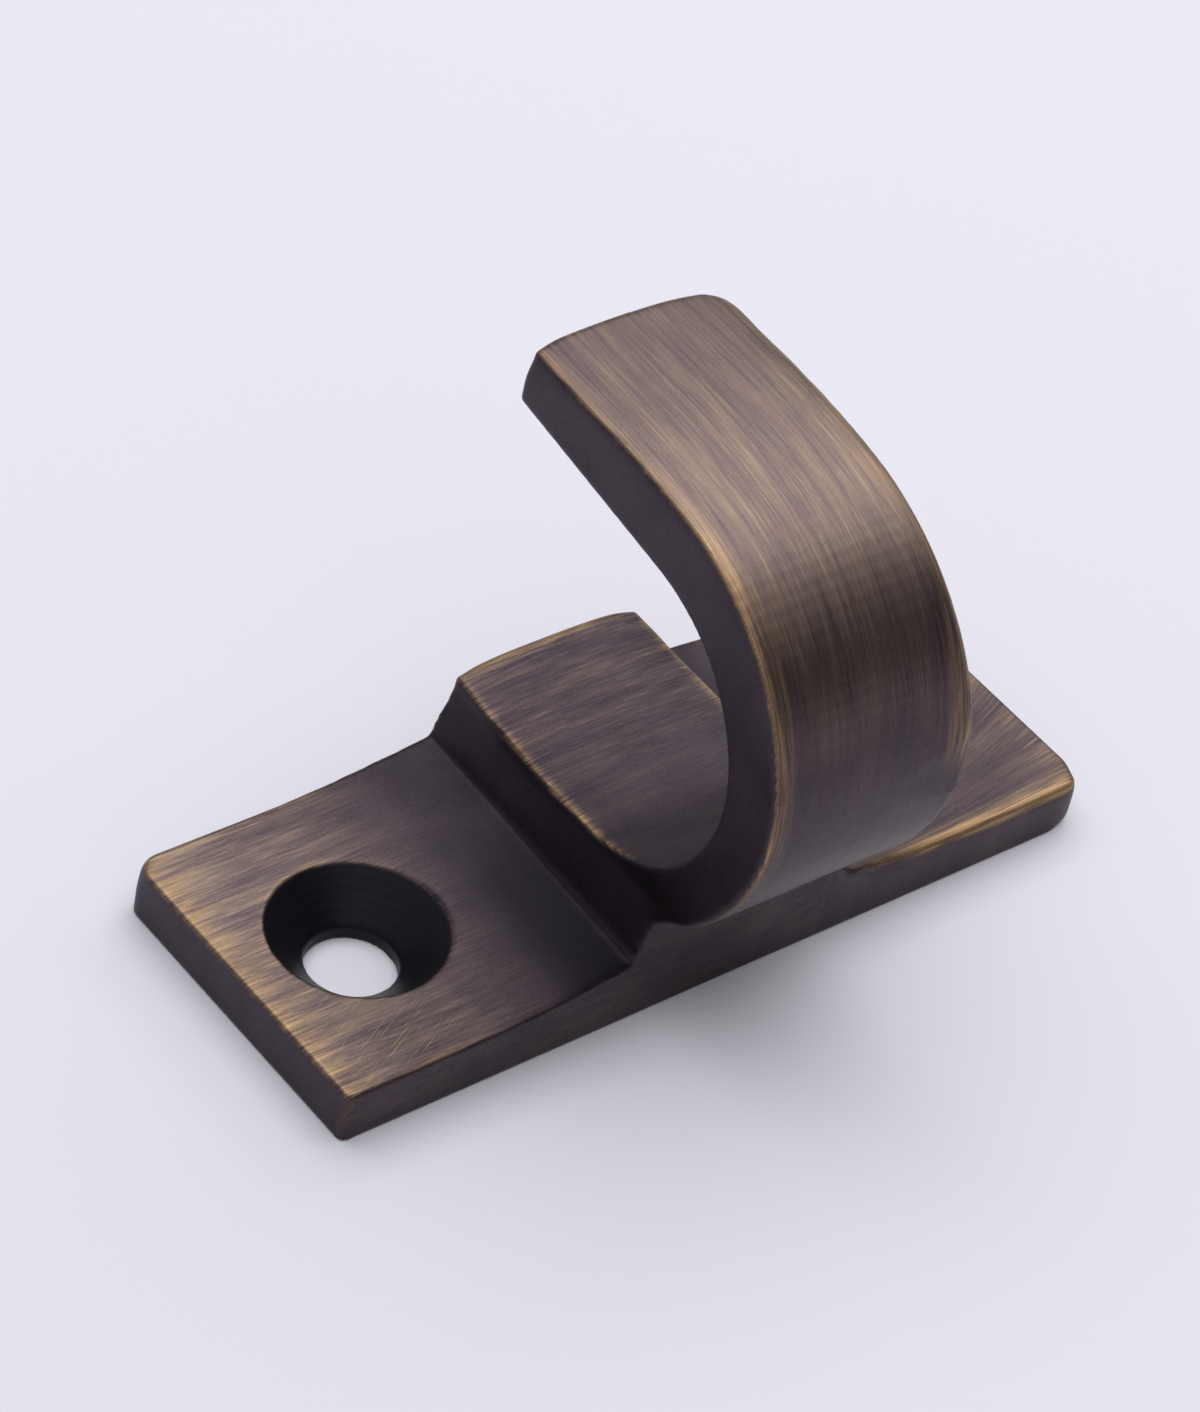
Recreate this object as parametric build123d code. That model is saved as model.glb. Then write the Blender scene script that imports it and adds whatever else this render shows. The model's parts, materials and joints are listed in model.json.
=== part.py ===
from build123d import *
import os
from math import cos, radians, sin, sqrt, tan

# Open hook bracket for a cafe rod: one solid brass casting
# X runs along the plate and the rod, Y towards the hook's mouth, Z out from the wall.
# The origin is the centre of the plate's back face. Sizes are in millimetres, angles in degrees.

# The rod that the hook holds
rod_diameter = 15.8
rod_clearance = 0.05
rod_height = 14.5
rod_setback = 2.2

# Back plate
plate_length = 42.0
plate_width = 16.0
plate_thickness = 2.7
plate_corner_radius = 0.8
plate_edge_radius = 0.2

# The plate's top rises from its flat ends to a crease at the foot of the hook
flat_length = 6.4
ramp_rise = 0.8

# Two countersunk screw holes
screw_inset = 6.3
screw_hole_radius = 2.1
countersink_radius = 4.1
countersink_angle = 90.0

# Foot of the hook, which leans in from the crease to the hook's width
foot_width = 12.0
knee_height = 6.4
knee_radius = 2.0

# Hook
hook_width = 10.3
bend_wall = 3.1
bend_radius = 11.2
bend_rise = 0.45
ledge_slope = 2.6

# Arm over the rod
arm_reach = 6.45
arm_under_slope = 9.3
arm_top_slope = 3.0
shoulder_slope = 14.0
shoulder_radius = 30.0

# Rubbed edges of the hook
outer_edge_radius = 0.3
inner_edge_radius = 0.15

# Places worked out from the sizes above
seat_radius = rod_diameter / 2 + rod_clearance
seat_y = -rod_setback
seat_z = rod_height
near_y = -plate_width / 2
far_y = plate_width / 2
bend_y = seat_y - seat_radius - bend_wall + bend_radius
bend_z = seat_z + bend_rise
crease_z = plate_thickness + ramp_rise
half_foot = foot_width / 2
half_hook = hook_width / 2
half_plate = plate_length / 2
beyond = bend_z + bend_radius + plate_width
squarely = 0.5


def on_circle(centre_y, centre_z, radius, angle):
    """A point of the side outline, at an angle from +Y."""
    return (centre_y + radius * cos(radians(angle)), centre_z + radius * sin(radians(angle)))


def along_slope(start, reach, slope):
    """The point at the reach along +Y of a line that leaves a point at a slope."""
    return (reach, start[1] + (reach - start[0]) * tan(radians(slope)))


def along_shoulder(start, slope):
    """The point of the shoulder's arc where its slope has fallen to the one given."""
    turned_y = sin(radians(shoulder_slope)) - sin(radians(slope))
    turned_z = cos(radians(slope)) - cos(radians(shoulder_slope))
    return (start[0] + shoulder_radius * turned_y, start[1] + shoulder_radius * turned_z)


def plate_outline():
    """The plate seen along Y: flat ends, and ramps that rise to the crease."""
    half_flat = half_plate - flat_length
    run = half_flat - half_foot
    ramp_radius = (run**2 + ramp_rise**2) / (2 * ramp_rise)
    ramp_middle = ramp_radius - sqrt(ramp_radius**2 - (run / 2) ** 2)
    with BuildSketch(Plane.XZ) as sketch:
        with BuildLine():
            Line((0, 0), (half_plate, 0))
            Line((half_plate, 0), (half_plate, plate_thickness))
            Line((half_plate, plate_thickness), (half_flat, plate_thickness))
            ThreePointArc(
                (half_flat, plate_thickness),
                (half_flat - run / 2, plate_thickness + ramp_middle),
                (half_foot, crease_z),
            )
            Line((half_foot, crease_z), (0, crease_z))
            Line((0, crease_z), (0, 0))
        make_face()
        mirror(about=Plane.YZ)
    return sketch.sketch


def plate():
    """The back plate, with rounded corners and rubbed top edges."""
    solid = extrude(plate_outline(), amount=plate_width / 2, both=True)
    corners = solid.edges().filter_by(Axis.Z)
    solid = fillet(corners, radius=plate_corner_radius)
    top = solid.edges().filter_by(lambda edge: edge.center().Z > plate_thickness - plate_edge_radius)
    inner = half_plate - plate_edge_radius
    across = top.filter_by(Axis.Y).filter_by(lambda edge: abs(edge.center().X) < inner)
    return fillet(top - across, radius=plate_edge_radius)


def front_outline():
    """Foot and hook seen along Y: the foot leans in, then the sides rise straight."""
    with BuildSketch(Plane.XZ) as sketch:
        with BuildLine():
            Polyline(
                (0, 0),
                (half_foot, 0),
                (half_foot, crease_z),
                (half_hook, knee_height),
                (half_hook, beyond),
                (0, beyond),
                close=True,
            )
        make_face()
        fillet(sketch.vertices().sort_by_distance((half_hook, knee_height))[0], radius=knee_radius)
        mirror(about=Plane.YZ)
    return sketch.sketch


def side_outline():
    """Foot, bend, arm, seat and ledge, seen along X."""
    face_height = bend_z - sqrt(bend_radius**2 - (bend_y - near_y) ** 2)
    bend_back = on_circle(bend_y, bend_z, bend_radius, 180)
    bend_end = on_circle(bend_y, bend_z, bend_radius, 90 + shoulder_slope)
    shoulder_middle = along_shoulder(bend_end, (shoulder_slope + arm_top_slope) / 2)
    shoulder_end = along_shoulder(bend_end, arm_top_slope)
    tip_top = along_slope(shoulder_end, arm_reach, arm_top_slope)
    seat_top = on_circle(seat_y, seat_z, seat_radius, 90 + arm_under_slope)
    seat_back = on_circle(seat_y, seat_z, seat_radius, 180)
    seat_end = on_circle(seat_y, seat_z, seat_radius, 270 + ledge_slope)
    tip_under = along_slope(seat_top, arm_reach, arm_under_slope)
    ledge_end = along_slope(seat_end, far_y, ledge_slope)
    with BuildSketch(Plane.YZ) as sketch:
        with BuildLine():
            Polyline(ledge_end, (far_y, 0), (near_y, 0), (near_y, face_height))
            ThreePointArc((near_y, face_height), bend_back, bend_end)
            ThreePointArc(bend_end, shoulder_middle, shoulder_end)
            Polyline(shoulder_end, tip_top, tip_under, seat_top)
            ThreePointArc(seat_top, seat_back, seat_end)
            Line(seat_end, ledge_end)
        make_face()
    return sketch.sketch


def facing(face):
    """How squarely a face of the hook looks towards the rod's axis, from -1 to 1."""
    towards = Vector(0, seat_y, seat_z) - face.center()
    return face.normal_at().dot(Vector(0, towards.Y, towards.Z).normalized())


def side_edges(faces):
    """The edges of some faces of the hook that don't run straight across it, in a fixed order."""
    return (faces.edges() - faces.edges().filter_by(Axis.X)).sort_by(Axis.Y)


def hook():
    """Foot and hook: the solid that the front and side outlines share, with rubbed edges."""
    from_front = extrude(front_outline(), amount=beyond, both=True)
    from_side = extrude(side_outline(), amount=half_plate, both=True)
    solid = from_front & from_side
    away = solid.faces().filter_by(lambda face: facing(face) < -squarely)
    outside = away.filter_by(lambda face: face.center().Y < near_y or face.center().Z > bend_z)
    tip_top = solid.edges().filter_by(Axis.X).sort_by_distance((0, arm_reach, beyond))[0]
    solid = fillet(side_edges(outside) + [tip_top], radius=outer_edge_radius)
    channel = solid.faces().filter_by(lambda face: facing(face) > squarely)
    ends = channel.edges().filter_by(Axis.X).sort_by(Axis.Y)[-2:]
    return fillet(side_edges(channel) + ends, radius=inner_edge_radius)


def screw_hole():
    """Through hole and countersink, running past both faces of the plate."""
    slope = tan(radians(countersink_angle / 2))
    depth = countersink_radius / slope
    above = ramp_rise
    shank = Cylinder(screw_hole_radius, beyond)
    cone = Cone(0, countersink_radius + above * slope, depth + above)
    return shank + Pos(0, 0, plate_thickness - depth + (depth + above) / 2) * cone


def bracket():
    """The whole casting."""
    solid = plate() + hook()
    for side in (-1, 1):
        solid -= Pos(side * (half_plate - screw_inset), 0, 0) * screw_hole()
    return solid


if __name__ == "__main__":
    os.makedirs("parts", exist_ok=True)
    export_step(bracket(), "parts/bracket.step")
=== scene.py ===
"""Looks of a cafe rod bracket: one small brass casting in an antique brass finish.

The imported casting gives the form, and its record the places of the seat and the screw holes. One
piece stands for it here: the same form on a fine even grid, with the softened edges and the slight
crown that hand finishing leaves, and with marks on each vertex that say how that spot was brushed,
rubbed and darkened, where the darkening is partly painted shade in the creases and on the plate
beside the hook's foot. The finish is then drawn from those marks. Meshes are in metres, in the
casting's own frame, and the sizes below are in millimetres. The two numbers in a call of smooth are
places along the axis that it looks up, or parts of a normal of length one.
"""

import json
import logging
import math
from dataclasses import dataclass
from enum import Enum

import bpy
import numpy as np
from mathutils import Matrix, Vector


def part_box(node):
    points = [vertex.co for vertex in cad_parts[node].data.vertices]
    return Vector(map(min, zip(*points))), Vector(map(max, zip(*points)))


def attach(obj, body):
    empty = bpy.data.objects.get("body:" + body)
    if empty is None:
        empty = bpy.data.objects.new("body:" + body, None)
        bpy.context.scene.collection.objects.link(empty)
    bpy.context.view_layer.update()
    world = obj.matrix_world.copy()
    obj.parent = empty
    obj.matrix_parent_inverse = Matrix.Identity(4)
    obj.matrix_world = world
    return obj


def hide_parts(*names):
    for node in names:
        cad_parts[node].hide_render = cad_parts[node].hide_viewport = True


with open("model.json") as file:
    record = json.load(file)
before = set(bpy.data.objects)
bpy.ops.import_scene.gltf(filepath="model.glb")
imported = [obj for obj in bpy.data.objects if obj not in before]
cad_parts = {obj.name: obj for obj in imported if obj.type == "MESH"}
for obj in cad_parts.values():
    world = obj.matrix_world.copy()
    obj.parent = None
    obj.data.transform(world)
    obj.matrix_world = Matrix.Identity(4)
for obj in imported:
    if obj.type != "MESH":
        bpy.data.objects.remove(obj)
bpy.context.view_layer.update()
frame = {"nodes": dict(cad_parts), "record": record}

MM = 0.001
IMAGE_HEIGHT = 1412
SENSOR = 36.0
# Keeps a division by a length from failing where the length is nought
TINY = 1e-9

# Where a smooth change starts and where it ends
Span = tuple[float, float]

log = logging.getLogger("bracket")


class Mark(Enum):
    """What the casting's surface carries at each vertex, by the name of its attribute."""

    GRAIN = "grain_mm"
    BRUSHED = "brushed"
    RUBBED = "rubbed"
    FILM_AND_SHADE = "film_and_shade"
    RAGGED = "ragged"
    BORE = "bore"
    RINGS = "rings_mm"
    SCORED = "scored"


def linear(hex_colour: str) -> tuple[float, float, float, float]:
    """Turns an sRGB hex colour into the linear values that a shader takes.

    Args:
        hex_colour: Six hex digits after a hash sign.

    Returns:
        Red, green, blue and an alpha of one, in linear light.
    """
    parts = [int(hex_colour[at:at + 2], 16) / 255 for at in (1, 3, 5)]
    light = [part / 12.92 if part <= 0.04045 else ((part + 0.055) / 1.055) ** 2.4 for part in parts]
    return (*light, 1.0)


def add(tree: bpy.types.NodeTree, kind: str, inputs: dict | None = None,
        **settings: object) -> bpy.types.Node:
    """Adds a node with its settings, and fills or links its inputs.

    Args:
        tree: The node tree that gets the node.
        kind: The node's type, without the leading ShaderNode.
        inputs: For each input, by name or number, a constant, an output to link to it, or a node
            whose first output is linked to it.
        settings: The node's own settings, by name.

    Returns:
        The new node.
    """
    node = tree.nodes.new("ShaderNode" + kind)
    for name, value in settings.items():
        setattr(node, name, value)
    for key, value in (inputs or {}).items():
        if isinstance(value, bpy.types.Node):
            value = next(output for output in value.outputs if output.enabled)
        if isinstance(value, bpy.types.NodeSocket):
            tree.links.new(value, node.inputs[key])
        else:
            node.inputs[key].default_value = value
    return node


def smooth(values: np.ndarray, start: float, end: float) -> np.ndarray:
    """Rises smoothly from nought at start to one at end, or falls where end is the lower.

    Args:
        values: The values to look up.
        start: Where the result is nought.
        end: Where the result is one.

    Returns:
        One share from nought to one for each value.
    """
    share = np.clip((values - start) / (end - start), 0.0, 1.0)
    return share * share * (3 - 2 * share)


def blend(share: np.ndarray, low: float, high: float) -> np.ndarray:
    """Goes from low, where the share is nought, to high, where it is one."""
    return low + (high - low) * share


@dataclass(frozen=True)
class Band:
    """A bright band along an edge: its share at the edge, and the distance over which that fades."""

    share: float | np.ndarray
    fade: float | np.ndarray

    def at(self, distance: np.ndarray) -> np.ndarray:
        """Gives the band's share at each distance from its edge."""
        return self.share * np.exp(-np.maximum(distance, 0) / self.fade)


@dataclass(frozen=True)
class Layout:
    """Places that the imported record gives, and the plate's reach from its box, in millimetres.

    The seat's axis runs along X through seat_y and seat_z. The holes lie at hole_x on both sides.
    """

    seat_y: float
    seat_z: float
    seat_radius: float
    hole_x: float
    half_length: float
    half_width: float

    @classmethod
    def read(cls) -> "Layout":
        """Reads the layout from the frame's record and the casting's box.

        Returns:
            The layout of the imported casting.
        """
        mounts = {mount["kind"]: mount for mount in frame["record"]["mounts"]}
        seat, holes = mounts["clamp"], mounts["bolt_pattern"]["dims"]
        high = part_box("bracket")[1]
        return cls(seat["pos_m"][1] / MM, seat["pos_m"][2] / MM, seat["dims"]["r_mm"],
                   holes["spacing_x_mm"] / 2, high.x / MM, high.y / MM)


@dataclass
class Surface:
    """The casting's surface as arrays: points and normals in millimetres, and which points are joined."""

    points: np.ndarray
    normals: np.ndarray
    edges: np.ndarray

    @classmethod
    def read(cls, mesh: bpy.types.Mesh) -> "Surface":
        """Reads a mesh in metres.

        Args:
            mesh: The mesh to read.

        Returns:
            Its surface in millimetres.
        """
        points = np.zeros(len(mesh.vertices) * 3, np.float32)
        mesh.vertices.foreach_get("co", points)
        normals = np.zeros(len(mesh.vertices) * 3, np.float32)
        mesh.vertices.foreach_get("normal", normals)
        edges = np.zeros(len(mesh.edges) * 2, np.int32)
        mesh.edges.foreach_get("vertices", edges)
        return cls(points.reshape(-1, 3).astype(float) / MM, normals.reshape(-1, 3).astype(float),
                   edges.reshape(-1, 2))

    def spread(self, values: np.ndarray, rounds: int) -> np.ndarray:
        """Averages each point with its neighbours, again and again.

        Args:
            values: One value or one row for each point.
            rounds: How many times to average.

        Returns:
            The averaged values.
        """
        first, second = self.edges.T
        count = np.bincount(self.edges.ravel(), minlength=len(self.points))
        rows = values.reshape(len(values), -1).astype(float)
        for _ in range(rounds):
            total = np.stack([np.bincount(first, column[second], len(count))
                              + np.bincount(second, column[first], len(count)) for column in rows.T], axis=1)
            rows = (rows + total / np.maximum(count, 1)[:, None]) / 2
        return rows.reshape(values.shape)

    def bend(self) -> np.ndarray:
        """Measures how sharply the surface bends: above nought on an edge, below it in a corner.

        Returns:
            The mean of one over the radius, in each direction to a neighbour, for each point.
        """
        first, second = self.edges.T
        step = self.points[second] - self.points[first]
        turn = ((self.normals[second] - self.normals[first]) * step).sum(axis=1)
        turn /= np.maximum((step * step).sum(axis=1), TINY)
        total = np.bincount(first, turn, len(self.points)) + np.bincount(second, turn, len(self.points))
        return total / np.maximum(np.bincount(self.edges.ravel(), minlength=len(self.points)), 1)


@dataclass(frozen=True)
class Foot:
    """The hook's foot, which stands a little turned on the plate."""

    half_width: float = 6.0
    bottom: float = 3.5
    top: float = 6.4
    # How far the turn moves a point along X for each millimetre along Y, and where it moves nothing
    turn: float = 0.0375
    unmoved_y: float = -13.0

    def shift(self, points: np.ndarray) -> np.ndarray:
        """Gives how far the foot's turn moves each point along X."""
        return self.turn * (points[:, 1] - self.unmoved_y)

    def aside(self, points: np.ndarray) -> np.ndarray:
        """Gives how far along X each point lies from the turned foot's middle."""
        return points[:, 0] - self.shift(points)


@dataclass(frozen=True)
class Plate:
    """The back plate: its top brushed towards its ends and rubbed bright there, its holes left dark.

    Left is towards -X and near is towards -Y, here and in the hook.
    """

    layout: Layout
    foot: Foot
    sink_radius: float = 4.1
    corner_radius: float = 0.8
    # The near-left corner is a superellipse of this power, where two would be a plain round
    corner_power: float = 5.0
    # How far the left end was ground out of square, and over which stretch of the plate
    end_skew: float = 0.2
    end_ground: Span = (18.8, 20.6)
    # The right half was brushed in a fan about this point, and its streaks have their width at this reach
    fan_x: float = 4.0
    fan_y: float = -8.0
    fan_reach: float = 13.0
    # How far the brush reached at some distances from the foot, and how that differs from near to far
    brushed_at: tuple[float, ...] = (0.0, 3.0, 5.0, 8.5, 10.5, 13.0, 15.0)
    brushed_share: tuple[float, ...] = (0.0, 0.04, 0.16, 0.53, 0.60, 0.85, 1.0)
    brushed_near: float = 0.72
    brushed_far: float = 1.06
    brushed_right_half: float = 0.46
    brushed_front: float = 0.13
    # How thick the dark film lies beside the foot, with painted shade of the hook added on the near side
    shut_far: float = 0.35
    film_and_hook_shade_near: float = 0.85
    film_and_shade_right_half: float = 0.25
    # The scratched spot by the near-left corner
    scored_x: float = -17.5
    scored_y: float = -6.0
    scored_reach: Span = (4.2, 1.8)
    # How far wear rounded the right half's near edge and two of the corners
    worn_near: float = 0.75
    worn_near_right: float = 0.8
    worn_far_left: float = 0.5
    # The bright bands
    left_end: Band = Band(0.72, 1.1)
    right_end: Band = Band(0.2, 0.8)
    near_edge: Band = Band(0.45, 0.25)
    far_edge: Band = Band(0.3, 0.5)
    rounded_edge: Band = Band(1.25, 0.42)
    rounded_corner: float = 0.12
    left_corner: float = 0.16

    def covers(self, surface: Surface) -> np.ndarray:
        """Gives the share to which each point is on the plate's top.

        Args:
            surface: The casting's surface.

        Returns:
            One share for each point.
        """
        z = surface.points[:, 2]
        beside = smooth(np.abs(self.foot.aside(surface.points)) - self.foot.half_width, -0.15, 0.1)
        low = smooth(z - self.foot.bottom, 0.3, 0.1)
        level = smooth(surface.normals[:, 2], 0.45, 0.8)
        return beside * low * level * smooth(z, 1.0, 1.5)

    def hole_distance(self, surface: Surface) -> np.ndarray:
        """Gives each point's distance from the axis of the nearer screw hole."""
        x, y, _ = surface.points.T
        return np.hypot(np.abs(x) - self.layout.hole_x, y)

    def bore(self, surface: Surface) -> np.ndarray:
        """Gives the share to which each point is in a countersink or its hole."""
        inside = smooth(self.hole_distance(surface) - self.sink_radius, 0.05, -0.1)
        return inside * smooth(surface.normals[:, 2], 0.97, 0.85)

    def shaped(self, points: np.ndarray) -> np.ndarray:
        """Sets the plate's left end a little out of square, as it was ground, with a sharper near corner.

        Args:
            points: Points in millimetres.

        Returns:
            The moved points.
        """
        moved = points.copy()
        middle = np.array([self.layout.half_length, self.layout.half_width]) - self.corner_radius
        past = np.maximum(-points[:, :2] - middle, 0)
        round_reach = np.maximum(np.hypot(*past.T), TINY)
        square_reach = np.maximum((past**self.corner_power).sum(axis=1) ** (1 / self.corner_power), TINY)
        moved[:, :2] -= past * (round_reach / square_reach - 1)[:, None]
        near = (self.layout.half_width - points[:, 1]) / (2 * self.layout.half_width)
        moved[:, 0] += self.end_skew * near * smooth(-points[:, 0], *self.end_ground)
        return moved

    def brushed(self, surface: Surface) -> np.ndarray:
        """Gives how far the brush reached: fully at the ends, hardly beside the foot or in front.

        Args:
            surface: The casting's surface.

        Returns:
            One share for each point.
        """
        x, y, _ = surface.points.T
        share = np.interp(np.abs(x) - self.foot.half_width, self.brushed_at, self.brushed_share)
        share *= blend(smooth(y, -6.0, 5.0), self.brushed_near, self.brushed_far)
        share *= np.where(x < 0, 1.0, self.brushed_right_half)
        facing_near = smooth(-surface.normals[:, 1], 0.7, 0.9) * smooth(y + self.layout.half_width, 0.4, 0.1)
        return np.maximum(self.covers(surface) * share, self.brushed_front * facing_near)

    def film_and_shade(self, surface: Surface) -> np.ndarray:
        """Gives how thick the dark film lies on the plate beside the foot, where no brush got in, with
        painted shade of the hook that darkens it more on the near side.

        Args:
            surface: The casting's surface.

        Returns:
            One share for each point.
        """
        x, y, _ = surface.points.T
        beside = smooth(np.abs(self.foot.aside(surface.points)) - self.foot.half_width, 5.0, 2.0)
        # Thicker on the near side, where painted shade of the hook is added to the film
        thick = blend(smooth(y, 4.0, -2.0), self.shut_far, self.film_and_hook_shade_near)
        return self.covers(surface) * beside * thick * np.where(x < 0, 1.0, self.film_and_shade_right_half)

    def scored(self, points: np.ndarray) -> np.ndarray:
        """Gives the share to which each point is where the plate's near corner was scratched."""
        off = np.hypot(points[:, 0] - self.scored_x, 0.8 * (points[:, 1] - self.scored_y))
        return smooth(off, *self.scored_reach)

    def worn(self, points: np.ndarray) -> np.ndarray:
        """Gives the share to which each point is on an edge or a corner that the wheel rounded over.

        Args:
            points: Points in millimetres.

        Returns:
            One share for each point: along the right half's near edge, and at two of the corners.
        """
        x, y, z = points.T
        from_left, from_right = x + self.layout.half_length, self.layout.half_length - x
        from_near, from_far = y + self.layout.half_width, self.layout.half_width - y
        near = smooth(from_near, 1.1, 0.3) * smooth(x, 6.0, 10.0) * smooth(z, 1.7, 2.4)
        near_right = smooth(np.hypot(from_right, from_near), 1.7, 0.6)
        far_left = smooth(np.hypot(from_left, from_far), 1.2, 0.3) * smooth(z, 1.2, 2.4)
        return np.maximum.reduce([self.worn_near * near, self.worn_near_right * near_right,
                                  self.worn_far_left * far_left])

    def rubbed(self, surface: Surface) -> np.ndarray:
        """Gives the bright bands that the wheel and handling left at the plate's edges.

        Args:
            surface: The casting's surface.

        Returns:
            One share for each point.
        """
        x, y, z = surface.points.T
        from_end, from_left = self.layout.half_length - np.abs(x), x + self.layout.half_length
        from_near, from_far = y + self.layout.half_width, self.layout.half_width - y
        ends = np.where(x < 0, self.left_end.at(from_end), self.right_end.at(from_end))
        near = self.near_edge.at(from_near) * smooth(-x, 9.0, 17.0)
        far = self.far_edge.at(from_far) * smooth(np.abs(x), 8.0, 12.0)
        over = smooth(surface.normals[:, 2], 0.1, 0.55) * smooth(z, 1.0, 1.8) * smooth(x, 4.5, 12.0)
        right = over * (self.rounded_edge.at(from_near) + self.rounded_corner * smooth(x, 18.5, 20.5))
        corner = self.left_corner * smooth(np.hypot(from_left, from_near), 0.9, 0.2)
        return np.maximum.reduce([self.covers(surface) * np.maximum.reduce([ends, near, far]), right, corner])


@dataclass(frozen=True)
class Fall:
    """How far a face's sides lie below its middle, at some places along Y, and how late it falls."""

    at: tuple[float, ...]
    left: tuple[float, ...]
    right: tuple[float, ...]
    power: float

    def below(self, points: np.ndarray, aside: np.ndarray) -> np.ndarray:
        """Gives how far each point falls.

        Args:
            points: Points in millimetres.
            aside: Each point's place between the middle, at nought, and the side, at one.

        Returns:
            One distance for each point.
        """
        x, y, _ = points.T
        at_side = np.where(x < 0, np.interp(y, self.at, self.left), np.interp(y, self.at, self.right))
        return at_side * aside**self.power


@dataclass(frozen=True)
class Hook:
    """The hook above its foot: brushed round the outside, cast dark on the sides, with a brushed ledge.

    The casting was finished by hand, so the outside is crowned, more so towards the arm's tip, the
    ledge falls away at its sides, and the sides spread a little towards the bend.
    """

    layout: Layout
    foot: Foot
    half_width: float = 5.15
    wall: float = 3.1
    bend_radius: float = 11.2
    bend_rise: float = 0.45
    # The arm's underside: its rise along Y, and the share of the seat's radius at which it starts
    under_rise: float = 0.164
    under_start: float = 0.987
    spread_left: float = 0.12
    spread_right: float = 0.36
    outside_fall: Fall = Fall(
        (-13.0, -11.5, -7.0, -2.0, 2.0, 5.0, 6.5),
        (0.04, 0.06, 0.14, 0.26, 0.30, 0.26, 0.18),
        (-0.14, -0.14, 0.16, 0.34, 0.40, 0.46, 0.54),
        2.4,
    )
    ledge_fall: Fall = Fall(
        (-6.0, -1.6, 0.4, 3.2, 5.5, 8.0),
        (0.0, 0.12, 0.40, 0.49, 0.46, 0.36),
        (0.0, 0.0, 0.06, 0.29, 0.45, 0.48),
        3.2,
    )
    # How far wear rounded each edge and corner, with the left side's share of what the right side has
    worn_left: float = 0.3
    worn_left_tip: float = 0.5
    worn_across_tip: float = 0.15
    worn_along: float = 0.8
    worn_ledge: float = 0.2
    worn_foot: float = 0.6
    # How far the brush reached
    brushed_least: float = 0.02
    brushed_arm: float = 0.98
    brushed_under_bend: float = 0.22
    brushed_off_tip: float = 0.36
    brushed_ledge_back: float = 0.04
    brushed_ledge: float = 0.17
    # The bright bands: the left edge's is thin, and grows wide at the bend
    left_edge: Band = Band(0.55, 0.2)
    left_edge_at_bend: Band = Band(0.8, 0.9)
    right_edge: Band = Band(0.6, 0.9)
    ledge_left: Band = Band(0.8, 0.2)
    ledge_right: Band = Band(0.95, 0.24)
    ledge_far: Band = Band(0.55, 0.45)
    wall_darkening: float = 0.5

    @property
    def bend_y(self) -> float:
        """Gives the bend's axis along Y."""
        return self.layout.seat_y - self.layout.seat_radius - self.wall + self.bend_radius

    @property
    def bend_z(self) -> float:
        """Gives the bend's axis along Z."""
        return self.layout.seat_z + self.bend_rise

    def radial(self, points: np.ndarray) -> tuple[np.ndarray, np.ndarray]:
        """Gives the Y and the Z part of the direction from the bend's axis to each point.

        Args:
            points: Points in millimetres.

        Returns:
            The two parts, each with one value for each point.
        """
        off_y, off_z = points[:, 1] - self.bend_y, points[:, 2] - self.bend_z
        distance = np.maximum(np.hypot(off_y, off_z), TINY)
        return off_y / distance, off_z / distance

    def depth(self, points: np.ndarray) -> np.ndarray:
        """Gives how far each point lies outside the channel that the rod rests in.

        Args:
            points: Points in millimetres.

        Returns:
            One distance for each point: from the round seat, or above the arm's underside.
        """
        _, y, z = points.T
        from_seat = np.hypot(y - self.layout.seat_y, z - self.layout.seat_z) - self.layout.seat_radius
        start_y = self.layout.seat_y - self.under_rise * self.layout.seat_radius
        start_z = self.layout.seat_z + self.under_start * self.layout.seat_radius
        above = z - (start_z + self.under_rise * (y - start_y))
        return np.where((y > start_y) & (z > self.layout.seat_z), above, from_seat)

    def shaped(self, points: np.ndarray) -> np.ndarray:
        """Crowns the outside, lets the ledge's sides fall, spreads the hook and turns the foot.

        Args:
            points: Points in millimetres.

        Returns:
            The moved points.
        """
        moved = points.copy()
        x, _, z = points.T
        aside = np.minimum(np.abs(x) / self.half_width, 1.0)
        out_y, out_z = self.radial(points)
        drop = self.outside_fall.below(points, aside) * smooth(self.depth(points), 0.5, 2.7)
        drop *= smooth(z, self.foot.top, 11.0)
        moved[:, 1] -= drop * out_y
        moved[:, 2] -= drop * out_z
        at_side = smooth(aside, 0.7, 1.0) * smooth(z, 6.6, 14.4)
        spread = np.where(x < 0, -self.spread_left * smooth(z, 12.0, 20.0),
                          self.spread_right * smooth(z, 26.0, 16.0))
        moved[:, 0] += at_side * spread
        above_ledge = z - self.foot.top
        at_ledge = smooth(z, self.foot.bottom, self.foot.top - 0.3) * smooth(above_ledge, 5.0, 1.0)
        moved[:, 2] -= self.ledge_fall.below(points, aside) * at_ledge
        on_foot = smooth(z, 2.4, 3.3) * smooth(z, 11.0, 7.5) * smooth(np.abs(x), 9.0, 6.2)
        moved[:, 0] += self.foot.shift(points) * on_foot
        return moved

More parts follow.
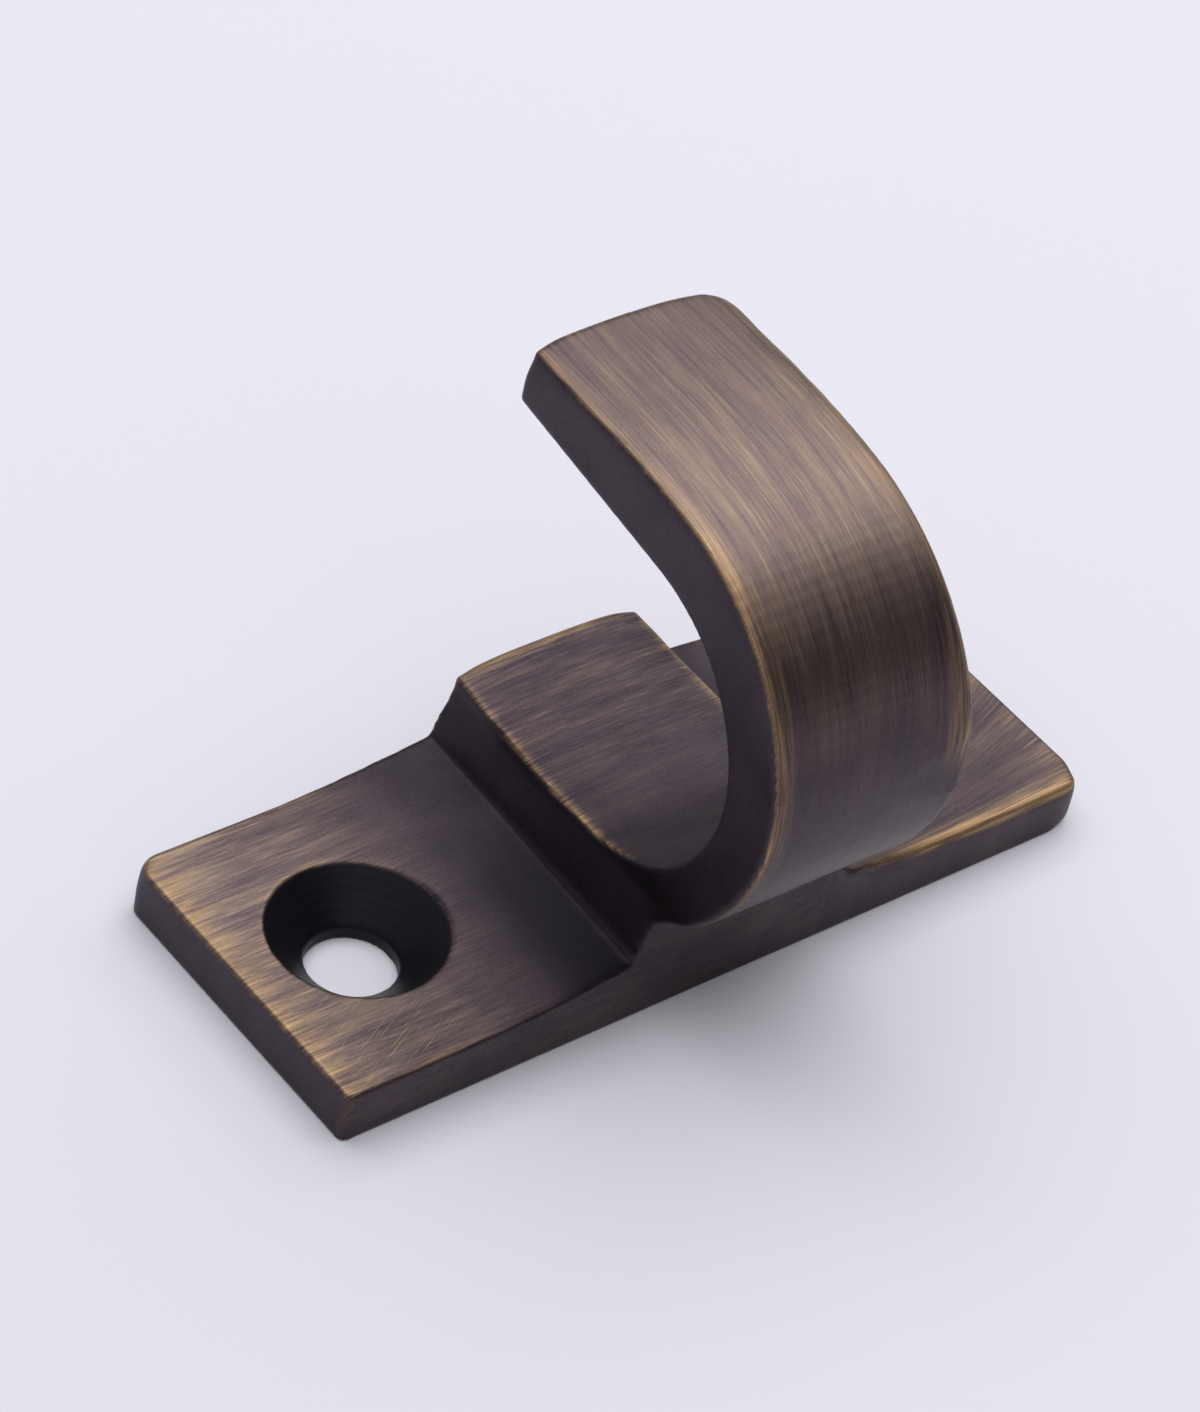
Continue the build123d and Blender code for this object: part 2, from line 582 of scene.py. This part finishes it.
    def worn(self, points: np.ndarray) -> np.ndarray:
        """Gives the share to which each point is on a corner that is well rounded by wear.

        Args:
            points: Points in millimetres.

        Returns:
            One share for each point: at the arm's tip, on the outside's edges and at the foot's ends.
        """
        x, y, z = points.T
        edge = smooth(np.abs(x) / self.half_width, 0.72, 0.95)
        outer = smooth(self.depth(points), 1.2, 2.6)
        tip = outer * smooth(y, 3.8, 6.0) * smooth(z, 22.0, 24.5) * blend(edge, self.worn_across_tip, 1.0)
        along = self.worn_along * edge * outer * smooth(z, 16.0, 22.0)
        ledge = self.worn_ledge * edge * smooth(y, 5.8, 7.6) * smooth(z, 4.6, 5.6) * smooth(z, 9.0, 8.0)
        foot = self.worn_foot * edge * smooth(y, -6.9, -7.7) * smooth(z, 3.9, 4.6) * smooth(z, 6.8, 5.8)
        right = x > 0
        return np.maximum.reduce([tip * np.where(right, 1.0, self.worn_left_tip),
                                  along * np.where(right, 1.0, self.worn_left), ledge, foot])

    def creased(self, points: np.ndarray) -> np.ndarray:
        """Gives the share to which each point is in the crease where foot and plate meet."""
        from_wall = np.abs(self.foot.aside(points)) - self.foot.half_width
        return smooth(np.hypot(from_wall, points[:, 2] - self.foot.bottom), 0.8, 0.2)

    def outside(self, surface: Surface) -> np.ndarray:
        """Gives the share to which each point is on the hook's outside.

        Args:
            surface: The casting's surface.

        Returns:
            One share for each point.
        """
        out_y, out_z = self.radial(surface.points)
        facing = surface.normals[:, 1] * out_y + surface.normals[:, 2] * out_z
        high = smooth(surface.points[:, 2], 4.6, 5.6) * smooth(self.depth(surface.points), 1.2, 2.2)
        return smooth(facing, 0.35, 0.65) * high * smooth(np.abs(surface.normals[:, 0]), 0.9, 0.6)

    def ledge(self, surface: Surface) -> np.ndarray:
        """Gives the share to which each point is on the ledge or the seat that runs on from it.

        Args:
            surface: The casting's surface.

        Returns:
            One share for each point.
        """
        _, y, z = surface.points.T
        up = smooth(surface.normals[:, 2] + 0.35 * surface.normals[:, 1], 0.45, 0.75)
        return up * smooth(z, 5.0, 5.6) * smooth(z, 14.0, 9.0) * smooth(y, -9.9, -9.2)

    def brushed(self, surface: Surface) -> np.ndarray:
        """Gives how far the brush reached: most on the arm, less round the bend and on the ledge.

        Args:
            surface: The casting's surface.

        Returns:
            One share for each point.
        """
        _, y, z = surface.points.T
        reach = self.brushed_least + self.brushed_arm * smooth(z, 15.2, 25.8)
        reach += self.brushed_under_bend * smooth(z, 14.5, 10.0)
        reach -= self.brushed_off_tip * smooth(y, -7.0, 6.0)
        on_ledge = blend(smooth(y, -3.0, 5.0), self.brushed_ledge_back, self.brushed_ledge)
        return np.maximum(self.outside(surface) * reach, self.ledge(surface) * on_ledge)

    def arc(self, points: np.ndarray) -> np.ndarray:
        """Gives each point's distance along the outside, measured round the bend's axis."""
        out_y, out_z = self.radial(points)
        return self.bend_radius * np.arctan2(-out_z, -out_y)

    def rubbed(self, surface: Surface) -> np.ndarray:
        """Gives the bright bands that handling left along the hook's and the ledge's edges.

        Args:
            surface: The casting's surface.

        Returns:
            One share for each point.
        """
        x, y, z = surface.points.T
        at_bend = smooth(z, 26.2, 24.2) * (0.4 * smooth(z, 8.0, 12.0) + 0.6 * smooth(z, 18.5, 22.5))
        left = Band(blend(at_bend, self.left_edge.share, self.left_edge_at_bend.share),
                    blend(at_bend, self.left_edge.fade, self.left_edge_at_bend.fade))
        left = left.at(self.half_width + x) * smooth(z, 6.5, 10.0)
        right = self.right_edge.at(self.half_width - x) * smooth(z, 13.0, 18.0)
        aside = self.foot.aside(surface.points)
        ledge_left = self.ledge_left.at(self.half_width + aside) * smooth(y, -7.5, -3.0)
        ledge_right = self.ledge_right.at(self.half_width - aside) * smooth(y, -4.0, 0.0)
        ledge_far = self.ledge_far.at(self.layout.half_width - y)
        on_ledge = self.ledge(surface) * np.maximum.reduce([ledge_left, ledge_right, ledge_far])
        return np.maximum(self.outside(surface) * np.maximum(left, right), on_ledge)

    def film_and_shade(self, surface: Surface) -> np.ndarray:
        """Gives how far the foot's walls are darkened towards near black, fully low down and fading out above
        the ledge.
        """
        z, wall = surface.points[:, 2], smooth(np.abs(surface.normals[:, 0]), 0.7, 0.9)
        return self.wall_darkening * wall * smooth(z - self.foot.bottom, -0.2, 0.2) * smooth(z, 9.0, 6.0)


@dataclass(frozen=True)
class AntiqueBrass:
    """Cast brass, chemically darkened, brushed through by hand and lacquered.

    To the eye it is a dull mauve brown metal. Where the brush cut through the dark film it shows
    olive gold hairlines, and where hands or the wheel took the film off an edge it shines warm gold.
    The cast sides keep the film and look almost black. The lacquer is thin, and adds only a faint even
    sheen over dark and bright alike, which shows most where the surface turns away.
    """

    film: str = "#332c34"
    film_grain: str = "#4b4048"
    brushed_dark: str = "#64555b"
    brushed_light: str = "#8f7b6b"
    hairline: str = "#b09b83"
    gold: str = "#ba9c76"
    gold_deep: str = "#8a6a45"
    # Near black, used for the thickest film and for painted shade
    film_and_shade: str = "#1c1a1f"
    bore: str = "#26242a"
    bore_ring: str = "#29272d"
    cast_roughness: float = 0.50
    brushed_roughness: float = 0.39
    # How much rougher the highest streaks are than the lowest
    roughness_swing: float = 0.12
    # The finest hairlines are a few hundredths of a millimetre wide, which no pixel holds, so they
    # are drawn as wide as the smallest mark that shows
    hair_width: float = 0.065
    hair_length: float = 2.6
    streak_width: float = 0.17
    streak_length: float = 6.0
    tone_width: float = 0.9
    tone_length: float = 11.0
    # The scratches cross the brush's way at this angle, in degrees
    score_angle: float = 17.0
    score_length: float = 5.0
    cast_grain: float = 0.11
    cloud_size: float = 3.0
    ring_pitch: float = 0.34
    hair_depth: float = 0.0022
    cast_depth: float = 0.0045
    lacquer: float = 0.08
    lacquer_roughness: float = 0.22
    # Where each noise, of about a half on average, or sum of noises starts to show and shows fully
    speck_span: Span = (0.62, 1.38)
    light_span: Span = (1.06, 1.94)
    hairline_span: Span = (0.60, 0.80)
    cut_span: Span = (1.16, 1.84)
    ragged_span: Span = (1.2, 1.8)
    score_span: Span = (0.62, 0.70)
    # How strongly each one shows
    speck_in_light: float = 0.4
    hairline_share: float = 0.55
    score_share: float = 0.6
    cut_swing: float = 0.32
    ragged_swing: float = 0.7
    # The rubbed mark at which gold starts to show and at which it shows fully, and how much it covers
    gold_span: Span = (0.08, 0.85)
    gold_share: float = 0.95

    def material(self) -> bpy.types.Material:
        """Builds the finish from the marks on the casting's vertices.

        Returns:
            The material.
        """
        made = bpy.data.materials.new("antique_brass_brushed_casting")
        made.use_nodes = True
        tree = made.node_tree
        tree.nodes.clear()
        marks = {mark: add(tree, "Attribute", attribute_name=mark.value) for mark in Mark}
        place = add(tree, "TexCoord").outputs["Object"]
        hair = self.streaks(tree, marks[Mark.GRAIN], self.hair_width, self.hair_length)
        streak = self.streaks(tree, marks[Mark.GRAIN], self.streak_width, self.streak_length)
        tone = self.streaks(tree, marks[Mark.GRAIN], self.tone_width, self.tone_length)
        grain = add(tree, "TexNoise", {"Vector": place, "Scale": 1 / (self.cast_grain * MM), "Detail": 2.0})
        cloud = add(tree, "TexNoise", {"Vector": place, "Scale": 1 / (self.cloud_size * MM), "Detail": 3.0})
        speck = add(tree, "Math", {0: grain, 1: cloud}, operation="ADD")
        base = self.colour(tree, marks, (hair, streak, tone, speck))
        rough = add(tree, "MapRange", {"Value": marks[Mark.BRUSHED], "To Min": self.cast_roughness,
                                       "To Max": self.brushed_roughness})
        swing = self.roughness_swing
        rough = add(tree, "Math", {0: streak, 1: swing, 2: rough}, operation="MULTIPLY_ADD")
        rough = add(tree, "Math", {0: rough, 1: swing / 2}, operation="SUBTRACT")
        depth = add(tree, "MapRange", {"Value": marks[Mark.BRUSHED], "To Min": self.cast_depth * MM,
                                       "To Max": self.hair_depth * MM})
        relief = add(tree, "Mix", {0: marks[Mark.BRUSHED], 2: grain, 3: hair})
        bump = add(tree, "Bump", {"Strength": 1.0, "Distance": depth, "Height": relief})
        metal = add(tree, "BsdfPrincipled", {"Base Color": base, "Metallic": 1.0, "Roughness": rough,
                                             "Normal": bump, "Coat Weight": self.lacquer,
                                             "Coat Roughness": self.lacquer_roughness})
        out = add(tree, "OutputMaterial", {"Surface": metal})
        out.is_active_output = True
        return made

    def colour(self, tree: bpy.types.NodeTree, marks: dict[Mark, bpy.types.Node],
               noises: tuple[bpy.types.Node, ...]) -> bpy.types.Node:
        """Works out the metal's own colour.

        Args:
            tree: The node tree.
            marks: The attribute node of each mark.
            noises: The hairlines, the streaks, the broad tones and the film's own specks and clouds.

        Returns:
            The node that gives the colour.
        """
        hair, streak, tone, speck = noises
        low, high = self.speck_span
        speck = add(tree, "MapRange", {"Value": speck, "From Min": low, "From Max": high})
        film = add(tree, "Mix", {0: speck, 6: linear(self.film), 7: linear(self.film_grain)},
                   data_type="RGBA")
        streaked = add(tree, "Math", {0: hair, 1: streak}, operation="ADD")
        streaked = add(tree, "Math", {0: streaked, 1: tone}, operation="ADD")
        low, high = self.light_span
        light = add(tree, "MapRange", {"Value": streaked, "From Min": low, "From Max": high})
        light = add(tree, "Math", {0: speck, 1: self.speck_in_light, 2: light}, operation="MULTIPLY_ADD")
        light = add(tree, "Math", {0: light, 1: self.speck_in_light / 2}, operation="SUBTRACT",
                    use_clamp=True)
        open_metal = add(tree, "Mix", {0: light, 6: linear(self.brushed_dark),
                                       7: linear(self.brushed_light)}, data_type="RGBA")
        low, high = self.hairline_span
        scratch = add(tree, "MapRange", {"Value": hair, "From Min": low, "From Max": high,
                                         "To Max": self.hairline_share})
        open_metal = add(tree, "Mix", {0: scratch, 6: open_metal, 7: linear(self.hairline)},
                         data_type="RGBA")
        # Where little was brushed away, only the highest streaks show bare metal
        low, high = self.cut_span
        cut = add(tree, "MapRange", {"Value": streaked, "From Min": low, "From Max": high,
                                     "To Min": -self.cut_swing, "To Max": self.cut_swing})
        cut = add(tree, "Math", {0: cut, 1: marks[Mark.RAGGED], 2: marks[Mark.BRUSHED]},
                  operation="MULTIPLY_ADD", use_clamp=True)
        base = add(tree, "Mix", {0: cut, 6: film, 7: open_metal}, data_type="RGBA")
        low, high = self.ragged_span
        ragged = add(tree, "MapRange", {"Value": streaked, "From Min": low, "From Max": high,
                                        "To Min": 1 - self.ragged_swing, "To Max": 1 + self.ragged_swing})
        worn = add(tree, "Math", {0: marks[Mark.RUBBED], 1: ragged}, operation="MULTIPLY")
        low, high = self.gold_span
        worn = add(tree, "MapRange", {"Value": worn, "From Min": low, "From Max": high,
                                      "To Max": self.gold_share})
        gold = add(tree, "Mix", {0: light, 6: linear(self.gold_deep), 7: linear(self.gold)},
                   data_type="RGBA")
        base = add(tree, "Mix", {0: worn, 6: base, 7: gold}, data_type="RGBA")
        # Darkens towards near black: the film beside the foot and on the foot's walls, painted shade in every
        # crease, and painted shade of the hook on the plate's near side
        base = add(tree, "Mix", {0: marks[Mark.FILM_AND_SHADE], 6: base, 7: linear(self.film_and_shade)}, data_type="RGBA")
        score = self.scores(tree, marks)
        base = add(tree, "Mix", {0: score, 6: base, 7: linear(self.gold)}, data_type="RGBA")
        rings = add(tree, "Math", {0: marks[Mark.RINGS], 1: 2 * math.pi / self.ring_pitch},
                    operation="MULTIPLY")
        rings = add(tree, "Math", {0: rings}, operation="SINE")
        rings = add(tree, "MapRange", {"Value": rings, "From Min": -1.0})
        bore = add(tree, "Mix", {0: rings, 6: linear(self.bore), 7: linear(self.bore_ring)},
                   data_type="RGBA")
        return add(tree, "Mix", {0: marks[Mark.BORE], 6: base, 7: bore}, data_type="RGBA")

    def scores(self, tree: bpy.types.NodeTree, marks: dict[Mark, bpy.types.Node]) -> bpy.types.Node:
        """Draws the fine scratches across the plate's near corner.

        Args:
            tree: The node tree.
            marks: The attribute node of each mark.

        Returns:
            The node that gives how much bare metal a scratch shows.
        """
        turned = add(tree, "VectorRotate", {"Vector": marks[Mark.GRAIN],
                                            "Angle": math.radians(self.score_angle)},
                     rotation_type="Z_AXIS")
        score = self.streaks(tree, turned, self.hair_width, self.score_length)
        low, high = self.score_span
        score = add(tree, "MapRange", {"Value": score, "From Min": low, "From Max": high,
                                       "To Max": self.score_share})
        return add(tree, "Math", {0: score, 1: marks[Mark.SCORED]}, operation="MULTIPLY")

    def streaks(self, tree: bpy.types.NodeTree, grain: bpy.types.Node, width: float,
                length: float) -> bpy.types.Node:
        """Draws noise that is stretched along the brush's way.

        Args:
            tree: The node tree.
            grain: The node that gives the place across and along the brush's way, in millimetres.
            width: How wide a streak is, in millimetres.
            length: How long a streak is, in millimetres.

        Returns:
            The node that gives the noise, about a half on average.
        """
        scaled = add(tree, "VectorMath", {0: grain, 1: (1 / width, 1 / length, 1.0)}, operation="MULTIPLY")
        return add(tree, "TexNoise", {"Vector": scaled, "Scale": 1.0, "Detail": 2.0, "Roughness": 0.55,
                                      "Distortion": 0.1})


@dataclass(frozen=True)
class MattBoard:
    """Matt coated board, which is even and pale with no shine of its own."""

    colour: str = "#e7e6ee"
    roughness: float = 0.9

    def material(self) -> bpy.types.Material:
        """Builds the board's plain finish.

        Returns:
            The material.
        """
        made = bpy.data.materials.new("matt_coated_board")
        made.use_nodes = True
        shader = made.node_tree.nodes["Principled BSDF"]
        shader.inputs["Base Color"].default_value = linear(self.colour)
        shader.inputs["Roughness"].default_value = self.roughness
        shader.inputs["Specular IOR Level"].default_value = 0.0
        return made


@dataclass
class Casting:
    """The bracket's one piece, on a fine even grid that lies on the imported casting's surface."""

    plate: Plate
    hook: Hook
    finish: AntiqueBrass
    grid: float = 0.18
    # The second pull swells the surface by what the first one shrank it
    even_pulls: tuple[float, float] = (0.7, -0.72)
    even_rounds: int = 2
    crease_rounds: int = 10
    worn_rounds: int = 36
    # The level faces are brushed at a slant, with streaks shorter than the finish's own length
    level_slant: float = 0.35
    level_shortening: float = 1.6
    # Faces brushed in different ways lie this far apart in the noise, so that no streak is shared
    around_layer: float = 40.0
    fan_layer: float = 60.0
    # How unevenly the brush cut on the ledge, on the plate and round the hook
    ragged_ledge: float = 1.9
    ragged_plate: float = 0.8
    ragged_outside: float = 0.22
    # How bright every brushed edge and the countersinks' rims are, and how dark the painted shade in every
    # crease is
    edge_rubbed: float = 0.3
    rim_rubbed: float = 0.16
    painted_crease_shade: float = 0.5

    def build(self) -> bpy.types.Object:
        """Makes the piece, seats it on its body and dresses it.

        Returns:
            The piece.
        """
        mesh = self.gridded(frame["nodes"]["bracket"])
        surface = Surface.read(mesh)
        self.soften(surface)
        surface.points = np.clip(surface.points, *self.box())
        mesh.vertices.foreach_set("co", (surface.points * MM).astype(np.float32).ravel())
        mesh.update()
        self.mark(mesh, Surface.read(mesh))
        mesh.materials.clear()
        mesh.materials.append(self.finish.material())
        piece = bpy.data.objects.new("bracket_casting", mesh)
        bpy.context.scene.collection.objects.link(piece)
        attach(piece, "root")
        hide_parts("bracket")
        return piece

    def box(self) -> tuple[np.ndarray, np.ndarray]:
        """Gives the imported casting's lowest and highest corner in millimetres."""
        low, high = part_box("bracket")
        return np.array(low) / MM, np.array(high) / MM

    def soften(self, surface: Surface) -> None:
        """Gives the surface its hand-finished form and rounds its edges, its crease and its worn corners.

        Args:
            surface: The casting's surface, which is changed.
        """
        creased = self.hook.creased(surface.points)
        worn = np.maximum(self.hook.worn(surface.points), self.plate.worn(surface.points))
        surface.points = self.hook.shaped(self.plate.shaped(surface.points))
        for pull in self.even_pulls:
            even = surface.spread(surface.points, self.even_rounds)
            surface.points = surface.points + pull * (even - surface.points)
        for share, rounds in ((creased, self.crease_rounds), (worn, self.worn_rounds)):
            even = surface.spread(surface.points, rounds)
            surface.points = surface.points + share[:, None] * (even - surface.points)

    def gridded(self, node: bpy.types.Object) -> bpy.types.Mesh:
        """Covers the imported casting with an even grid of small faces.

        Args:
            node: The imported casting, which stays as it is.

        Returns:
            The new mesh.
        """
        worker = bpy.data.objects.new("grid_worker", node.data.copy())
        bpy.context.scene.collection.objects.link(worker)
        grid = worker.modifiers.new("even grid", "REMESH")
        grid.mode = "VOXEL"
        grid.voxel_size = self.grid * MM
        grid.use_smooth_shade = True
        seat = worker.modifiers.new("seat on the casting", "SHRINKWRAP")
        seat.target = node
        seat.wrap_method = "NEAREST_SURFACEPOINT"
        evaluated = worker.evaluated_get(bpy.context.evaluated_depsgraph_get())
        mesh = bpy.data.meshes.new_from_object(evaluated)
        mesh.name = "bracket_casting"
        spare = worker.data
        bpy.data.objects.remove(worker)
        bpy.data.meshes.remove(spare)
        return mesh

    def grain(self, surface: Surface) -> np.ndarray:
        """Gives each point's place across and along the way that it was brushed.

        Args:
            surface: The casting's surface.

        Returns:
            Across, along and a layer for each point, in millimetres, with a layer for each brushed face.
        """
        points = surface.points
        x, y, z = points.T
        same = np.ones(len(points))
        around = np.stack([x, self.hook.arc(points), self.around_layer * same], axis=1)
        from_x, from_y = x - self.plate.fan_x, y - self.plate.fan_y
        across = np.arctan2(from_y, from_x) * self.plate.fan_reach
        fan = np.stack([across, np.hypot(from_x, from_y), self.fan_layer * same], axis=1)
        level = np.stack([y + self.level_slant * z, self.level_shortening * x, 0 * same], axis=1)
        on_right = (x > self.hook.half_width) & (z < self.hook.foot.bottom + 0.2)
        grain = np.where(on_right[:, None], fan, level)
        return np.where((self.hook.outside(surface) > 0.5)[:, None], around, grain)

    def ragged(self, surface: Surface, brushed: np.ndarray) -> np.ndarray:
        """Gives how unevenly the brush cut: most on the ledge, least round the hook.

        Args:
            surface: The casting's surface.
            brushed: How far the brush reached at each point.

        Returns:
            One share for each point.
        """
        most = np.where(self.hook.ledge(surface) > 0.5, self.ragged_ledge, self.ragged_plate)
        most = np.where(self.hook.outside(surface) > 0.5, self.ragged_outside, most)
        return most * np.clip(brushed * 2.4, 0.0, 1.0)

    def mark(self, mesh: bpy.types.Mesh, surface: Surface) -> None:
        """Writes on each vertex how its spot was brushed, rubbed and darkened.

        Args:
            mesh: The mesh that gets the marks.
            surface: The same mesh as arrays.
        """
        bend = surface.spread(surface.bend(), 2)
        bore = self.plate.bore(surface)
        brushed = np.maximum(self.plate.brushed(surface), self.hook.brushed(surface)) * (1 - bore)
        rubbed = np.maximum(self.plate.rubbed(surface), self.hook.rubbed(surface)) * (1 - bore)
        edge = smooth(bend, 0.35, 1.3) * smooth(surface.spread(brushed, 2), 0.1, 0.5)
        rim = smooth(np.abs(self.plate.hole_distance(surface) - self.plate.sink_radius), 0.22, 0.05)
        rim *= smooth(surface.normals[:, 2], 0.5, 0.8)
        # Painted shade: every concave crease is darkened, as if in its own shadow
        crease = smooth(surface.spread(bend, 4), -0.15, -0.9)
        values = {
            Mark.GRAIN: self.grain(surface),
            Mark.BRUSHED: surface.spread(brushed, 1),
            Mark.RUBBED: np.maximum.reduce([rubbed, self.edge_rubbed * edge, self.rim_rubbed * rim]),
            Mark.FILM_AND_SHADE: np.maximum.reduce([self.painted_crease_shade * crease, self.plate.film_and_shade(surface),
                                          self.hook.film_and_shade(surface)]),
            Mark.RAGGED: self.ragged(surface, brushed),
            Mark.BORE: bore,
            Mark.RINGS: self.plate.hole_distance(surface),
            Mark.SCORED: self.plate.scored(surface.points) * self.plate.covers(surface) * (1 - bore),
        }
        for mark, value in values.items():
            kind = "FLOAT_VECTOR" if value.ndim > 1 else "FLOAT"
            attribute = mesh.attributes.new(mark.value, kind, "POINT")
            part = "vector" if value.ndim > 1 else "value"
            attribute.data.foreach_set(part, value.astype(np.float32).ravel())


@dataclass(frozen=True)
class Panel:
    """A soft light panel that faces a point on the table.

    The place and the size are in millimetres. The glow is the panel's own brightness: with a glow of
    one, a panel that filled the whole sky would light a white board to full white.
    """

    name: str
    place: tuple[float, float, float]
    aim: tuple[float, float, float]
    size: tuple[float, float]
    glow: float

    def build(self) -> bpy.types.Object:
        """Makes the panel.

        Returns:
            The light.
        """
        light = bpy.data.lights.new(self.name, "AREA")
        light.shape = "RECTANGLE"
        light.size, light.size_y = (side * MM for side in self.size)
        light.energy = self.glow * math.pi * light.size * light.size_y
        made = bpy.data.objects.new(self.name, light)
        made.location = Vector(self.place) * MM
        away = Vector(self.place) - Vector(self.aim)
        made.rotation_euler = away.to_track_quat("Z", "Y").to_euler()
        bpy.context.scene.collection.objects.link(made)
        return made


@dataclass(frozen=True)
class Studio:
    """A pale table under two broad panels, in a room that is dim towards its near right side."""

    table_side: float = 3000.0
    room: float = 0.38
    dim_room: float = 0.05
    # The room's light is a little bluish
    room_blue: float = 1.06
    # The way to the dim side, and the cosines of the angles from it where the light falls off
    dim_side: tuple[float, float, float] = (0.64, -0.72, 0.27)
    dim_span: Span = (0.66, 0.86)
    panels: tuple[Panel, ...] = (
        Panel("panel_above", (430.0, 200.0, 620.0), (430.0, 200.0, 0.0), (1600.0, 890.0), 1.52),
        Panel("panel_front", (430.0, -420.0, 620.0), (430.0, -420.0, 0.0), (1600.0, 350.0), 0.36),
    )

    def build(self) -> None:
        """Makes the table, the panels and the room's own light."""
        scene = bpy.context.scene
        scene.view_settings.view_transform = "Standard"
        half = self.table_side * MM / 2
        mesh = bpy.data.meshes.new("table")
        corners = [(-half, -half, 0), (half, -half, 0), (half, half, 0), (-half, half, 0)]
        mesh.from_pydata(corners, [], [(0, 1, 2, 3)])
        mesh.materials.append(MattBoard().material())
        table = bpy.data.objects.new("table", mesh)
        scene.collection.objects.link(table)
        scene.world = self.surroundings()
        for panel in self.panels:
            panel.build()

    def surroundings(self) -> bpy.types.World:
        """Makes the room's own light, which falls off towards its dim side.

        Returns:
            The world.
        """
        world = bpy.data.worlds.new("studio_room")
        world.use_nodes = True
        tree = world.node_tree
        way = add(tree, "TexCoord").outputs["Generated"]
        facing = add(tree, "VectorMath", {0: way, 1: self.dim_side}, operation="DOT_PRODUCT")
        low, high = self.dim_span
        dim = add(tree, "MapRange", {"Value": facing, "From Min": low, "From Max": high})
        lit, dull = ((level, level, level * self.room_blue, 1.0) for level in (self.room, self.dim_room))
        light = add(tree, "Mix", {0: dim, 6: lit, 7: dull}, data_type="RGBA")
        tree.links.new(light.outputs[2], tree.nodes["Background"].inputs["Color"])
        return world


@dataclass(frozen=True)
class PhotoCamera:
    """The photograph's camera: where it aims, from which side and how far, with its roll and lens."""

    aim: tuple[float, float, float] = (-0.786, 2.280, 8.0)
    distance: float = 215.95
    azimuth: float = -45.696
    elevation: float = 41.230
    roll: float = 12.516
    focal_pixels: float = 4912.8
    # The nearest and the farthest that it sees, in metres
    clip: Span = (0.01, 10.0)

    def build(self) -> bpy.types.Object:
        """Makes the camera and gives it to the scene.

        Returns:
            The camera.
        """
        turn, rise, roll = (math.radians(angle) for angle in (self.azimuth, self.elevation, self.roll))
        back = Vector((math.sin(turn) * math.cos(rise), -math.cos(turn) * math.cos(rise), math.sin(rise)))
        level = Vector((math.cos(turn), math.sin(turn), 0.0))
        upright = back.cross(level)
        right = math.cos(roll) * level + math.sin(roll) * upright
        data = bpy.data.cameras.new("photo_camera")
        data.sensor_width = SENSOR
        data.lens = SENSOR * self.focal_pixels / IMAGE_HEIGHT
        data.clip_start, data.clip_end = self.clip
        made = bpy.data.objects.new("photo_camera", data)
        turned = Matrix((right, back.cross(right), back)).transposed().to_4x4()
        made.matrix_world = Matrix.Translation((Vector(self.aim) + back * self.distance) * MM) @ turned
        bpy.context.scene.collection.objects.link(made)
        bpy.context.scene.camera = made
        return made


def main() -> None:
    """Builds the casting, the studio and the camera, in that order."""
    logging.basicConfig(level=logging.INFO, format="%(name)s %(message)s")
    layout, foot = Layout.read(), Foot()
    casting = Casting(Plate(layout, foot), Hook(layout, foot), AntiqueBrass()).build()
    faces = sum(len(polygon.vertices) - 2 for polygon in casting.data.polygons)
    log.info("%s: %d triangles", casting.name, faces)
    Studio().build()
    log.info("studio built")
    PhotoCamera().build()
    log.info("camera built")


if __name__ == "__main__":
    main()
